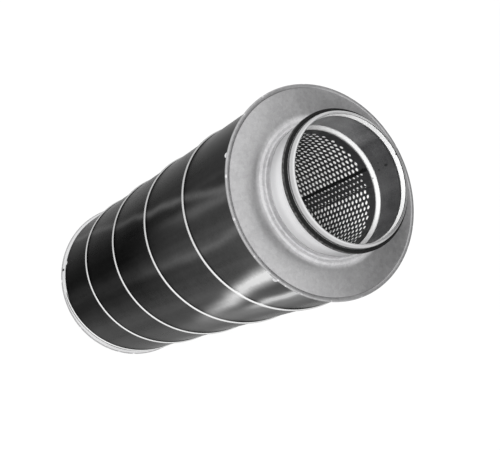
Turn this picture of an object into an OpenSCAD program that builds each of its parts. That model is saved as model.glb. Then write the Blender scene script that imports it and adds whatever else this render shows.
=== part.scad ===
// Round duct sound attenuator: a spiral-seam steel casing closed by two pressed end caps,
// a lapped perforated liner round the airway with fleece and mineral wool behind it, and a
// spigot with a rubber lip gasket at each end. It stands on the rim of its rear spigot, with
// the airway along +Z and the origin in the middle of that rim.

/* [Body] */
// Length between the outer faces of the two end caps
body_length = 600; // [300:10:1200]
// Inside diameter of the casing
casing_id = 250; // [230:1:320]
// Sheet thickness of the casing
casing_sheet = 0.6; // [0.5:0.1:1]
// How far each end of the casing is flared outwards
flare_reach = 3; // [2.4:0.2:4]
// Length of that flare
flare_length = 5.7; // [4:0.1:6]

/* [Spiral seam] */
// Advance of the lock seam in one turn
seam_pitch = 120.4; // [80:0.4:160]
// Width of the seam's ridge along the casing
seam_w = 6.5; // [4:0.5:9]
// Height of the ridge over the casing
seam_h = 2.2; // [1:0.1:2.6]
// Direction in which the seam runs out at the front end
seam_angle = 164; // [-180:1:180]
// Width of the relief notch in the flare where the seam runs out
notch_w = 5; // [3:0.5:8]
// Depth of that notch along the casing
notch_depth = 3; // [2:0.5:5]
// Turn from the seam's end to that notch
notch_turn = 14; // [10:1:20]
// Width of the seam's open line on the inside of the casing
slit_w = 2.4; // [1.5:0.1:4]
// Depth of that line
slit_depth = 0.35; // [0.3:0.05:0.45]

/* [End caps] */
// How far the folded rim stands off the casing's outside
rim_reach = 4.4; // [4:0.2:8]
// Sheet thickness of the caps
cap_sheet = 0.9; // [0.7:0.1:1.2]
// Open gap between the two layers of the folded rim
rim_gap = 0.75; // [0.4:0.05:1.5]
// Depth of the skirt that plugs into the casing
skirt_depth = 20; // [18:1:40]
// Distance of the pressed groove from the edge of the cap
groove_inset = 5; // [4.5:0.5:10]
// Depth of the pressed groove
groove_depth = 0.55; // [0.2:0.05:0.6]
// Width of the pressed groove
groove_w = 1.8; // [1:0.1:3]
// Outside radius of the raised step round the hole, over that of the spigot
step_reach = 8.9; // [7:0.1:14]
// Width of the slope at the outside of that step
step_slope = 3.4; // [2:0.1:5]
// Height of that step
step_h = 1.7; // [1:0.1:3]
// Height of the collar drawn up round the spigot
collar_h = 9.5; // [7:0.5:14]
// Radius of the bend at the foot of the collar, on the sheet's middle
collar_bend_r = 2.5; // [1:0.25:3]

/* [Spigots] */
// Outside diameter of the spigot wall
spigot_od = 159; // [140:1:190]
// How far a spigot stands out of its cap
spigot_reach = 53.5; // [50:0.5:80]
// Sheet thickness of the spigots
spigot_sheet = 0.8; // [0.6:0.1:1]
// How much the rounded tip narrows along its length, in radius
tip_taper = 3.9; // [3.4:0.1:4.6]
// Length of the rounded tip
tip_length = 7.5; // [6:0.1:9]
// How much the wide end of the tip stands in from the wall, in radius
tip_step = 0.2; // [0:0.1:0.6]
// Length of the hem folded down inside the tip
hem_length = 9.2; // [7:0.1:9.5]
// Depth of the gasket groove, from the wall
groove_drop = 2.5; // [2:0.1:2.8]
// Width of the gasket groove's floor
groove_floor = 3; // [2:0.25:4]
// Length of the groove's flank on the side of the cap
groove_ramp = 3.5; // [2.5:0.25:5]
// Depth of the sleeve inside the body
sleeve_depth = 16; // [12:1:17]
// Length of the cone between spigot wall and sleeve
cone_length = 4; // [3:0.2:6]
// How much the sleeve stands in from the wall, in radius
neck_step = 4.1; // [3:0.1:5]

/* [Gaskets] */
// How far the lips stand off the spigot wall
lip_reach = 3.8; // [2.5:0.1:5]
// Length of the gasket along the spigot behind the tip
gasket_w = 10; // [9:0.25:12]
// Thickness of a lip at its crest
lip_t = 0.9; // [0.6:0.1:1.4]

/* [Perforated liner] */
// Sheet thickness of the liner
liner_sheet = 0.6; // [0.5:0.1:0.8]
// Diameter of a hole
hole_d = 5; // [3:0.5:6]
// Distance between the holes of a row
hole_pitch = 7.86; // [7.5:0.02:12]
// Distance of the first hole from the outer face of the cap
hole_margin = 21.5; // [21:0.5:60]
// Cut every hole (1), or one in so many along both directions of the pattern
hole_step = 3; // [1:1:5]
// Direction of the first row of holes beside the lap
lap_angle = 26.6; // [-180:0.2:180]
// Number of rows in the lap
lap_rows = 3; // [2:1:5]
// Plain edge of the sheet past its last row
lap_edge = 6; // [4.5:0.5:8]

/* [Absorber] */
// Thickness of the fleece round the liner
fleece_t = 0.5; // [0.4:0.1:1]
// Room between the wool and the steel at its outside and its ends
wool_room = 0.4; // [0.2:0.1:1]

/* [Rivets] */
// Number of rivets round each end
rivet_count = 5; // [3:1:12]
// Turn from the seam, at the rivets' level, to the first rivet
rivet_from_seam = 25; // [15:1:50]
// Distance between the casing's flare and the rivets' heads
rivet_gap = 0.4; // [0.2:0.1:2]
// Diameter of a rivet's head
rivet_head_d = 6.5; // [5:0.5:8]
// Height of a rivet's head
rivet_head_h = 1.5; // [1:0.1:2.5]
// Diameter of a rivet's body
rivet_d = 3.2; // [2.4:0.2:4]
// Length of the set end inside the skirt
rivet_tail = 2.4; // [1.5:0.1:4]

/* [Fits] */
// Clearance between sheets that slide into one another
slip = 0.2; // [0.1:0.05:0.4]
// Clearance between faces that lie on one another
seat = 0.05; // [0.02:0.01:0.1]

/* [Hidden] */
$fn = 128;

// Places along the airway
rear_face = spigot_reach;
front_face = rear_face + body_length;

// Casing and caps, depths counted from the outer face of a cap
casing_in_r = casing_id / 2;
casing_r = casing_in_r + casing_sheet;
cap_r = casing_r + rim_reach;
rim_depth = 2 * cap_sheet + rim_gap;
casing_end = rim_depth + seat;
skirt_r = casing_in_r - slip - cap_sheet / 2;
skirt_bend_r = cap_sheet;
rivet_inset = casing_end + flare_length + rivet_gap + rivet_head_d / 2;

// Spigot, radii on the middle of its sheet
spigot_r = spigot_od / 2;
wall_r = spigot_r - spigot_sheet / 2;
tip_wide_r = wall_r - tip_step;
tip_r = tip_wide_r - tip_taper;
tip_start = spigot_reach - tip_length;
floor_r = wall_r - groove_drop;
groove_flank = (tip_wide_r - floor_r) * 0.9;
floor_end = tip_start - groove_flank;
floor_start = floor_end - groove_floor;
collar_r = spigot_r + slip + cap_sheet / 2;

// Liner: flat facets, one to a row of holes, as the rolled sheet's bends between the rows
sleeve_r = wall_r - neck_step;
corner_r = sleeve_r - spigot_sheet / 2 - slip - liner_sheet / 2;
row_angle = asin(hole_pitch * sqrt(3) / 2 / corner_r);
row_count = floor(360 / row_angle);
liner_r = corner_r * cos(row_angle / 2) - liner_sheet / 2;
lap_in = liner_sheet + slip;
liner_depth = cone_length + spigot_sheet;
fleece_r = sleeve_r - spigot_sheet / 2;
fleece_depth = sleeve_depth + wool_room;
wool_in_r = max(fleece_r + fleece_t, sleeve_r + spigot_sheet / 2) + slip;
wool_depth = cap_sheet + groove_depth + wool_room;
wool_end_r = skirt_r - cap_sheet / 2 - rivet_tail - wool_room;
steel = [0.78, 0.79, 0.8];

// Points of an arc about a centre, from one angle to another
function arc(centre, r, from, to, steps) =
    [for (i = [0:steps]) let (a = from + (to - from) * i / steps) centre + r * [cos(a), sin(a)]];

function unit(v) = v / norm(v);
function left_of(v) = [-v[1], v[0]];
function backwards(list) = [for (i = [len(list) - 1:-1:0]) list[i]];

// A path moved sideways by d, with mitred corners
function moved(path, d) = let (last = len(path) - 1) [
    for (i = [0:last])
        let (before = unit(path[max(i, 1)] - path[max(i, 1) - 1]),
             after = unit(path[min(i, last - 1) + 1] - path[min(i, last - 1)]),
             across = unit(left_of(before) + left_of(after)))
        path[i] + across * d / (across * left_of(before))];

// Closed section of a sheet of thickness t whose middle follows the path
function sheet_section(path, t) = concat(moved(path, t / 2), backwards(moved(path, -t / 2)));

// The same points on the other end of the body
function flipped(path, height) = [for (p = path) [p[0], height - p[1]]];

module at_front() {
    translate([0, 0, front_face])
        children();
}

module at_rear() {
    translate([0, 0, rear_face])
        mirror([0, 0, 1])
            children();
}

module round_rivet_places(start) {
    for (i = [0:rivet_count - 1])
        rotate([0, 0, start + i * 360 / rivet_count])
            translate([0, 0, -rivet_inset])
                rotate([0, 90, 0])
                    children();
}

// Holes for the rivets, cut through everything between two radii
module rivet_holes(start, from_r, to_r) {
    round_rivet_places(start)
        translate([0, 0, from_r])
            cylinder(h = to_r - from_r, d = rivet_d + slip, $fn = 32);
}

// Casing: wall with a flare at each end, and the ridge of the spiral seam
casing_wall_r = casing_r - casing_sheet / 2;
front_flare_path = [for (i = [0:8])
    [casing_wall_r + flare_reach * (1 + cos(180 * i / 8)) / 2, -casing_end - flare_length * i / 8]];
casing_path = concat(front_flare_path, backwards(flipped(front_flare_path, -body_length)));
seam_start = rear_face + casing_end;
seam_length = body_length - 2 * casing_end;
seam_turns = seam_length / seam_pitch;
seam_half = seam_w / seam_pitch * 180;
seam_sink = casing_sheet * 0.4;
seam_steps = 48;
seam_rear_angle = seam_angle - seam_turns * 360;
seam_to_rivets = (rivet_inset - casing_end) / seam_pitch * 360;
front_rivet_angle = seam_angle - seam_to_rivets + rivet_from_seam;
rear_rivet_angle = seam_rear_angle + seam_to_rivets + rivet_from_seam;

// Height of the ridge over the casing at x from -1 to 1 across it: flat top, rounded shoulders
function ridge(x) = -seam_sink + (seam_h + seam_sink) * min(1, 1.6 * (1 - x * x));

module seam_outline() {
    crest = [for (x = [-1:0.4:1])
        (casing_r + ridge(x)) * [cos(x * seam_half), sin(x * seam_half)]];
    root_r = casing_r - seam_sink;
    root = [for (x = [1 / 3, -1 / 3]) root_r * [cos(x * seam_half), sin(x * seam_half)]];
    polygon(concat(crest, root));
}

// Open line of the lock seam on the inside
module slit_outline() {
    half = slit_w / seam_pitch * 180;
    outer = [for (x = [-1:0.5:1]) (casing_in_r + slit_depth) * [cos(x * half), sin(x * half)]];
    inner = [for (x = [1:-1:-1]) (casing_in_r - casing_sheet) * [cos(x * half), sin(x * half)]];
    polygon(concat(outer, inner));
}

// Winds a flat outline along the seam's helix, over the whole casing
module along_seam() {
    translate([0, 0, seam_start])
        rotate([0, 0, seam_rear_angle])
            linear_extrude(height = seam_length, twist = -seam_turns * 360,
                           slices = ceil(seam_turns * seam_steps), segments = 8)
                children();
}

module seam_notch() {
    translate([casing_r + flare_reach, 0, -casing_end])
        cube([2 * flare_reach, notch_w, 2 * notch_depth], center = true);
}

module outer_casing() {
    color(steel)
        difference() {
            union() {
                at_front()
                    rotate_extrude()
                        polygon(sheet_section(casing_path, casing_sheet));
                along_seam()
                    seam_outline();
            }
            along_seam()
                slit_outline();
            at_front()
                rivet_holes(front_rivet_angle, casing_in_r - casing_sheet, casing_r + casing_sheet);
            at_rear()
                rivet_holes(rear_rivet_angle, casing_in_r - casing_sheet, casing_r + casing_sheet);
            at_front()
                rotate([0, 0, seam_angle + notch_turn])
                    seam_notch();
            at_rear()
                rotate([0, 0, seam_rear_angle - notch_turn])
                    seam_notch();
        }
}

// End cap: drawn collar, raised step, face, pressed groove, folded rim, and skirt into the casing
step_r = spigot_r + step_reach;
groove_r = cap_r - groove_inset;
nose_r = (rim_depth - cap_sheet) / 2;
face_mid = -cap_sheet / 2;
return_mid = face_mid - 2 * nose_r;
cap_path = concat(
    [[collar_r, face_mid + collar_h]],
    arc([collar_r + collar_bend_r, face_mid + step_h + collar_bend_r], collar_bend_r, 180, 270, 6),
    [for (i = [0:8]) [step_r - step_slope * (1 - i / 8), face_mid + step_h * (1 + cos(180 * i / 8)) / 2]],
    [[groove_r - groove_w / 2, face_mid], [groove_r, face_mid - groove_depth],
     [groove_r + groove_w / 2, face_mid]],
    arc([cap_r - nose_r - cap_sheet / 2, face_mid - nose_r], nose_r, 90, -90, 8),
    arc([skirt_r + skirt_bend_r, return_mid - skirt_bend_r], skirt_bend_r, 90, 180, 5),
    [[skirt_r, -skirt_depth]]);

module end_cap(rivet_start) {
    color(steel)
        difference() {
            rotate_extrude()
                polygon(sheet_section(cap_path, cap_sheet));
            rivet_holes(rivet_start, skirt_r - 2 * cap_sheet, casing_in_r);
        }
}

module front_end_cap() {
    at_front()
        end_cap(front_rivet_angle);
}

module rear_end_cap() {
    at_rear()
        end_cap(rear_rivet_angle);
}

// Spigot: sleeve over the liner, cone, wall inside the cap's collar, gasket groove and rounded tip
spigot_root = [[sleeve_r, -sleeve_depth], [sleeve_r, -cone_length], [wall_r, 0]];
gasket_seat = [[wall_r, floor_start - groove_ramp], [floor_r, floor_start], [floor_r, floor_end],
               [tip_wide_r, tip_start]];
nose = [for (a = [10:10:90]) [tip_r + tip_taper * cos(a), tip_start + tip_length * sin(a)]];
spigot_path = concat(spigot_root, gasket_seat, nose);

module spigot() {
    color(steel)
        rotate_extrude()
            intersection() {
                union() {
                    polygon(sheet_section(spigot_path, spigot_sheet));
                    translate([tip_r - spigot_sheet / 2, spigot_reach - hem_length])
                        square([spigot_sheet, hem_length]);
                }
                translate([0, -sleeve_depth])
                    square([spigot_od, sleeve_depth + spigot_reach]);
            }
}

module front_spigot() {
    at_front()
        spigot();
}

module rear_spigot() {
    at_rear()
        spigot();
}

// Gasket: a foot that fills the groove and two lips that stand out from it
gasket_end = tip_start - gasket_w;
lip_gap = gasket_w / 2;
lip_r = spigot_r + lip_reach;
lip_root_r = spigot_r + lip_reach / 10;
lip_lean = lip_gap / 10;

function lip(top) = [
    [lip_root_r, top], [lip_r, top - lip_lean], [lip_r, top - lip_lean - lip_t],
    [lip_root_r, top - lip_gap / 2]];

module gasket() {
    color([0.08, 0.08, 0.09])
        rotate_extrude()
            difference() {
                polygon(concat([[wall_r, gasket_end]], gasket_seat,
                               [[tip_wide_r + spigot_sheet, tip_start]],
                               lip(tip_start), lip(tip_start - lip_gap),
                               [[lip_root_r, gasket_end]]));
                polygon(sheet_section(spigot_path, spigot_sheet + 2 * seat));
            }
}

module front_gasket() {
    at_front()
        gasket();
}

module rear_gasket() {
    at_rear()
        gasket();
}

// Liner: one rolled sheet, whose last rows are set inwards over its first rows
lap_start = row_count - lap_rows;
edge_angle = asin(lap_edge / liner_r);
function facet_r(i) = liner_r + liner_sheet / 2 - (i >= lap_start ? lap_in : 0);
function facet_point(i, side) = let (a = lap_angle + (i + side) * row_angle)
    facet_r(i) / cos(row_angle / 2) * [cos(a), sin(a)];
function edge_point(i, turn) = let (a = lap_angle + i * row_angle + turn)
    facet_r(i) / cos(row_angle / 2) * [cos(a), sin(a)];
liner_path = concat(
    [edge_point(-lap_rows, -edge_angle)],
    [for (i = [-lap_rows:lap_start - 2]) facet_point(i, 0.5)],
    [for (i = [lap_start - 1:row_count - 2]) facet_point(i + 1, -0.5)],
    [facet_point(row_count - 1, 0.5), edge_point(row_count - 1, edge_angle)]);
liner_length = body_length - 2 * liner_depth;
hole_span = body_length - 2 * hole_margin;
holes_in_row = floor(hole_span / (hole_step * hole_pitch));
first_row = -hole_step * floor(lap_rows / hole_step);

// One row; where two layers lie on one another only the row's own layer is cut
module row_of_holes(i) {
    shift = abs(i / hole_step) % 2 / 2;
    half = (liner_sheet + slip) / 2;
    low = i < 0 ? facet_r(i) - half : facet_r(row_count) - liner_sheet;
    high = i >= lap_start ? facet_r(i) + half : facet_r(0) + liner_sheet;
    rotate([0, 0, lap_angle + i * row_angle])
        for (k = [0:holes_in_row - 1])
            translate([low, 0, front_face - hole_margin - (k + shift) * hole_step * hole_pitch])
                rotate([0, 90, 0])
                    cylinder(h = high - low, d = hole_d, $fn = 16);
}

module perforated_liner() {
    color([0.5, 0.51, 0.53])
        difference() {
            translate([0, 0, rear_face + liner_depth])
                linear_extrude(height = liner_length)
                    polygon(sheet_section(liner_path, liner_sheet));
            for (i = [first_row:hole_step:row_count - 1])
                row_of_holes(i);
        }
}

// A ring between two radii, from one depth under the front cap to the same depth over the rear one
module inner_ring(in_r, out_r, depth) {
    translate([0, 0, rear_face + depth])
        difference() {
            cylinder(h = body_length - 2 * depth, r = out_r);
            translate([0, 0, -1])
                cylinder(h = body_length - 2 * depth + 2, r = in_r);
        }
}

module acoustic_fleece() {
    color("white")
        inner_ring(fleece_r, fleece_r + fleece_t, fleece_depth);
}

module mineral_wool() {
    color([0.78, 0.72, 0.45])
        union() {
            inner_ring(wool_in_r, casing_in_r - wool_room, skirt_depth + wool_room);
            inner_ring(wool_in_r, wool_end_r, cone_length + wool_room);
            inner_ring(spigot_r + wool_room, wool_end_r, wool_depth);
        }
}

// Rivet: domed head on the casing, body through casing and skirt, set end inside
module rivet() {
    grip_in = skirt_r - cap_sheet / 2 - 2 * seat;
    head_base = casing_r + seat;
    dome_r = (pow(rivet_head_d / 2, 2) + pow(rivet_head_h, 2)) / (2 * rivet_head_h);
    dome = arc([0, head_base + rivet_head_h - dome_r], dome_r, asin(1 - rivet_head_h / dome_r), 90, 6);
    rotate_extrude($fn = 32)
        polygon(concat(dome, [[0, grip_in - rivet_tail], [rivet_d * 0.6, grip_in - rivet_tail],
                              [rivet_d * 0.75, grip_in - rivet_tail / 2], [rivet_d * 0.6, grip_in],
                              [rivet_d / 2, grip_in], [rivet_d / 2, head_base]]));
}

module front_rivets() {
    color([0.86, 0.86, 0.87])
        at_front()
            round_rivet_places(front_rivet_angle)
                rivet();
}

module rear_rivets() {
    color([0.86, 0.86, 0.87])
        at_rear()
            round_rivet_places(rear_rivet_angle)
                rivet();
}

outer_casing();
front_end_cap();
rear_end_cap();
front_spigot();
rear_spigot();
front_gasket();
rear_gasket();
perforated_liner();
acoustic_fleece();
mineral_wool();
front_rivets();
rear_rivets();
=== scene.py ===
import logging
import math
from dataclasses import dataclass
from enum import Enum

import bpy
import numpy as np
from mathutils import Matrix, Vector


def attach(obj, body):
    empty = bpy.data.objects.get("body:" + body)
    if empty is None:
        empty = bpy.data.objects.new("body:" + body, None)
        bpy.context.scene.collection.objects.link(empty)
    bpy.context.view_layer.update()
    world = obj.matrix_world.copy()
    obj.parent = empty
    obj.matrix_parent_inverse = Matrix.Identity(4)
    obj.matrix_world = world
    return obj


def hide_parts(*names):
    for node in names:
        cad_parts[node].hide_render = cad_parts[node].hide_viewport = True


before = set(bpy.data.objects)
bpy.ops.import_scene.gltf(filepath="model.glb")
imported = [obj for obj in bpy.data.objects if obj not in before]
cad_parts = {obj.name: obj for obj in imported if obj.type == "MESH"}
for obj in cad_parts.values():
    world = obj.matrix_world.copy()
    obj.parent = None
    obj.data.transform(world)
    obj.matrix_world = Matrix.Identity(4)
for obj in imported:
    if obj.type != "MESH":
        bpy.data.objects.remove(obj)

Triple = tuple[float, float, float]
Socket = bpy.types.NodeSocket

log = logging.getLogger("duct_attenuator")
# Sizes in millimetres, angles in degrees
MM = 0.001
STEPS_ROUND = 256
SMOOTH_ANGLE = 35.0
SEAM_PITCH = 120.4
SEAM_ANGLE = 164.0
# Marks of the finishes: noise along the axis, cell size, chips, shifts of the sheens in degrees
STREAK_STRETCH = (1.0, 1.0, 0.035)
SPANGLE_SCALE = 260.0
CHIP_EDGE = (0.58, 0.7)
WINDING_SHIFT = 4.0
WAVE_SHIFT = 9.0
# Colour that the painted reflections mix towards
SHEEN_TONE = (0.9, 0.9, 0.9)
MARKS = ("Streaks", "Turning", "Spangle", "Grain", "Smudge")
# Heights of the bumps in metres
SHEET_BUMP = 0.0006
SOFT_BUMP = 0.0004


class End(Enum):
    """The two ends of the body: the level of the cap's outer face and the way out."""

    FRONT = (653.5, 1.0)
    REAR = (53.5, -1.0)

    def place(self, loop: np.ndarray) -> np.ndarray:
        """Moves a section to its end and keeps its turning sense.

        Args:
            loop: Points (r, height over the cap face).

        Returns:
            Points (r, z).
        """
        level, way = self.value
        moved = np.column_stack([loop[:, 0], level + way * loop[:, 1]])
        return moved if way > 0 else moved[::-1]


class Layer(Enum):
    """Layers of the liner where its sheet laps: the inner radius of each."""

    OUTER = 73.72
    INNER = 72.92


class Noise(Enum):
    """Noises of the finishes: scale and detail of each."""

    STREAK = (46.0, 4.0)
    TURNING = (0.9, 3.0)
    GRAIN = (700.0, 3.0)
    SMUDGE = (14.0, 5.0)
    CHIPS = (110.0, 4.0)
    WAVE = (9.0, 2.0)


def arc(centre: tuple[float, float], radius: float, start: float, end: float, steps: int) -> np.ndarray:
    """Points (r, z) of a circle about a centre, from one angle in degrees to another in even steps."""
    turn = np.radians(np.linspace(start, end, steps + 1))
    return np.column_stack([centre[0] + radius * np.cos(turn), centre[1] + radius * np.sin(turn)])


def rounded(path: np.ndarray, radius: float, steps: int, closed: bool = False) -> np.ndarray:
    """Rounds the corners of a path: each corner gives way to a quadratic curve between two points.

    The two points lie on the sides that meet there, at the radius or at 45 % of the shorter
    side. With f from 0 to 1 the curve is (1-f)^2 A + 2 f (1-f) P + f^2 B.

    Args:
        path: Corner points.
        radius: How far from a corner its rounding starts.
        steps: Steps in each rounding.
        closed: Whether the path is a loop.

    Returns:
        The rounded path.
    """
    before, after = np.roll(path, 1, axis=0), np.roll(path, -1, axis=0)
    to_before, to_after = before - path, after - path
    reach_before = np.linalg.norm(to_before, axis=1, keepdims=True)
    reach_after = np.linalg.norm(to_after, axis=1, keepdims=True)
    reach = np.minimum(radius, 0.45 * np.minimum(reach_before, reach_after))
    a = path + to_before / reach_before * reach
    b = path + to_after / reach_after * reach
    f = np.linspace(0.0, 1.0, steps + 1)[None, :, None]
    bend = (1 - f) ** 2 * a[:, None] + 2 * f * (1 - f) * path[:, None] + f**2 * b[:, None]
    if closed:
        return bend.reshape(-1, 2)
    return np.vstack([path[:1], bend[1:-1].reshape(-1, 2), path[-1:]])


def sheet_loop(path: np.ndarray, thickness: float) -> np.ndarray:
    """Closed section of a sheet whose middle follows a path: the path moved to both sides.

    A point moves along the mean of the normals of its two sides, by half the thickness over the
    cosine of half the angle between them.

    Args:
        path: Middle line of the sheet.
        thickness: Sheet thickness in millimetres.

    Returns:
        Loop of twice as many points, out along one side and back along the other.
    """
    way = np.diff(path, axis=0)
    way /= np.linalg.norm(way, axis=1, keepdims=True)
    normal = np.column_stack([-way[:, 1], way[:, 0]])
    first = np.vstack([normal[:1], normal])
    second = np.vstack([normal, normal[-1:]])
    mean = first + second
    mean /= np.linalg.norm(mean, axis=1, keepdims=True)
    offset = mean * (thickness / 2 / np.sum(mean * first, axis=1, keepdims=True))
    return np.vstack([path + offset, (path - offset)[::-1]])


@dataclass
class Surface:
    """Vertices in millimetres and four-cornered faces of one piece."""

    points: np.ndarray
    faces: np.ndarray

    def __add__(self, other: "Surface") -> "Surface":
        """Both surfaces as one."""
        shifted = other.faces + len(self.points)
        return Surface(np.vstack([self.points, other.points]), np.vstack([self.faces, shifted]))

    def to_object(self, name: str) -> bpy.types.Object:
        """Puts the surface into a new mesh object at the origin, in metres, shaded smooth up to an angle.

        Args:
            name: Name of the object.

        Returns:
            The new object, linked to the scene.
        """
        mesh = bpy.data.meshes.new(name)
        count = len(self.faces)
        mesh.vertices.add(len(self.points))
        mesh.vertices.foreach_set("co", (self.points * MM).astype(np.float32).ravel())
        mesh.loops.add(count * 4)
        mesh.loops.foreach_set("vertex_index", self.faces.astype(np.int32).ravel())
        mesh.polygons.add(count)
        mesh.polygons.foreach_set("loop_start", np.arange(0, count * 4, 4, dtype=np.int32))
        mesh.update(calc_edges=True)
        mesh.validate()
        mesh.polygons.foreach_set("use_smooth", np.ones(len(mesh.polygons), dtype=bool))
        mesh.set_sharp_from_angle(angle=math.radians(SMOOTH_ANGLE))
        piece = bpy.data.objects.new(name, mesh)
        bpy.context.scene.collection.objects.link(piece)
        return piece


def grid_faces(rows: int, columns: int, close_rows: bool, close_columns: bool) -> np.ndarray:
    """Faces of a grid of points numbered row by row.

    Args:
        rows: Number of rows.
        columns: Number of points in a row.
        close_rows: Whether the last row joins the first.
        close_columns: Whether the last column joins the first.

    Returns:
        Array of faces, four point numbers each.
    """
    i = np.arange(rows if close_rows else rows - 1)[:, None]
    j = np.arange(columns if close_columns else columns - 1)[None, :]
    k, m = (i + 1) % rows, (j + 1) % columns
    quads = np.stack([i * columns + j, k * columns + j, k * columns + m, i * columns + m], axis=-1)
    return quads.reshape(-1, 4)


def left_turning(loop: np.ndarray) -> np.ndarray:
    """A loop in the sense that keeps its inside on the left, told by the sign of its area.

    Args:
        loop: Points (r, z) in any sense.

    Returns:
        The same points in the wanted order.
    """
    r, z = loop[:, 0], loop[:, 1]
    area = np.sum(r * np.roll(z, -1) - np.roll(r, -1) * z)
    return loop if area > 0 else loop[::-1]


def loop_sides(loop: np.ndarray, end: End) -> tuple[np.ndarray, np.ndarray]:
    """Middles and outward normals of a placed loop's sides, seen from the end's cap face.

    Args:
        loop: Points (r, z) of a turned section.
        end: The end at which it is placed.

    Returns:
        Middles (r, height over the cap face) and normals in the same directions.
    """
    level, way = end.value
    placed = left_turning(loop)
    after = np.roll(placed, -1, axis=0)
    middle = (placed + after) / 2
    run = after - placed
    length = np.maximum(np.linalg.norm(run, axis=1, keepdims=True), 1e-9)
    normal = np.column_stack([run[:, 1], -run[:, 0]]) / length
    flip = np.array([1.0, way])
    return (middle - np.array([0.0, level])) * flip, normal * flip


def turned(loop: np.ndarray) -> Surface:
    """Turns a closed loop about the Z axis: x = r cos t, y = r sin t, z = z for t round the circle.

    Args:
        loop: Points (r, z) of the section, in any sense.

    Returns:
        A closed ring with its faces outwards.
    """
    r, z = left_turning(loop).T
    t = np.linspace(0, 2 * np.pi, STEPS_ROUND, endpoint=False)[:, None]
    points = np.stack([r * np.cos(t), r * np.sin(t), np.broadcast_to(z, (STEPS_ROUND, len(r)))], axis=-1)
    return Surface(points.reshape(-1, 3), grid_faces(STEPS_ROUND, len(r), True, True))


def wound(section: np.ndarray, turn: np.ndarray, level: np.ndarray, low: float, high: float) -> Surface:
    """Carries a closed section along a helix, cut level at both ends.

    At station i a section point (r, x) comes to angle turn[i], radius r and height level[i] + x,
    held between the lowest and the highest level.

    Args:
        section: Points (r, x) with x along the axis.
        turn: Angle of each station in radians.
        level: Height of each station.
        low: Lowest height.
        high: Highest height.

    Returns:
        The ridge, whose ends close on the end levels.
    """
    r = section[:, 0][None, :]
    z = np.clip(level[:, None] + section[:, 1][None, :], low, high)
    points = np.stack([r * np.cos(turn)[:, None], r * np.sin(turn)[:, None], z], axis=-1)
    return Surface(points.reshape(-1, 3), grid_faces(len(turn), len(section), False, True))


class Shader:
    """A small writer of node trees."""

    def __init__(self, tree: bpy.types.NodeTree) -> None:
        """Keeps the tree that is written."""
        self.tree = tree

    def node(self, kind: str, **settings: object) -> bpy.types.Node:
        """Adds a node.

        Args:
            kind: Blender's node type.
            **settings: Properties of the node.

        Returns:
            The node.
        """
        made = self.tree.nodes.new(kind)
        for name, value in settings.items():
            setattr(made, name, value)
        return made

    def link(self, source: Socket, target: Socket) -> None:
        """Joins two sockets."""
        self.tree.links.new(source, target)

    def math(self, operation: str, *terms: object) -> Socket:
        """A Math node of numbers and sockets.

        Args:
            operation: Blender's name of the operation.
            *terms: Its inputs.

        Returns:
            The result's socket.
        """
        made = self.node("ShaderNodeMath", operation=operation)
        for socket, term in zip(made.inputs, terms):
            if isinstance(term, Socket):
                self.link(term, socket)
            else:
                socket.default_value = term
        return made.outputs[0]

    def ramp(self, value: Socket, low: float, high: float) -> Socket:
        """A smooth step from 0 at low to 1 at high.

        Args:
            value: The number.
            low: Where the step starts.
            high: Where it ends.

        Returns:
            The step's socket.
        """
        made = self.node("ShaderNodeMapRange", interpolation_type="SMOOTHSTEP")
        self.link(value, made.inputs["Value"])
        made.inputs["From Min"].default_value = low
        made.inputs["From Max"].default_value = high
        return made.outputs["Result"]

    def hypot(self, first: Socket, second: Socket) -> Socket:
        """The root of first x first + second x second."""
        squares = [self.math("MULTIPLY", side, side) for side in (first, second)]
        return self.math("SQRT", self.math("ADD", *squares))

    def noise(self, vector: Socket, scale: float, detail: float) -> Socket:
        """A noise value.

        Args:
            vector: Where it is read.
            scale: Its scale.
            detail: Its detail.

        Returns:
            The value's socket.
        """
        made = self.node("ShaderNodeTexNoise")
        made.inputs["Scale"].default_value = scale
        made.inputs["Detail"].default_value = detail
        self.link(vector, made.inputs["Vector"])
        return made.outputs["Fac"]

    def mix(self, share: Socket, first: Socket | Triple, second: Triple, blend: str = "MIX") -> Socket:
        """A mix of two colours.

        Args:
            share: How far the mix goes to the second colour.
            first: The first colour.
            second: The second colour.
            blend: Blender's name of the way of mixing.

        Returns:
            The colour's socket.
        """
        made = self.node("ShaderNodeMix", data_type="RGBA", blend_type=blend)
        self.link(share, made.inputs["Factor"])
        if isinstance(first, Socket):
            self.link(first, made.inputs["A"])
        else:
            made.inputs["A"].default_value = (*first, 1.0)
        made.inputs["B"].default_value = (*second, 1.0)
        return made.outputs["Result"]

    def bump(self, height: Socket, strength: float, distance: float) -> Socket:
        """A normal bent by a height.

        Args:
            height: The height.
            strength: Share of the bend.
            distance: What a height of 1 measures, in metres.

        Returns:
            The normal's socket.
        """
        made = self.node("ShaderNodeBump")
        made.inputs["Strength"].default_value = strength
        made.inputs["Distance"].default_value = distance
        self.link(height, made.inputs["Height"])
        return made.outputs["Normal"]

    def group(self, tree: bpy.types.NodeTree, vector: Socket) -> bpy.types.Node:
        """Adds a node group that reads a vector.

        Args:
            tree: The group.
            vector: What it reads.

        Returns:
            The node.
        """
        made = self.node("ShaderNodeGroup", node_tree=tree)
        self.link(vector, made.inputs["Vector"])
        return made


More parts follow.
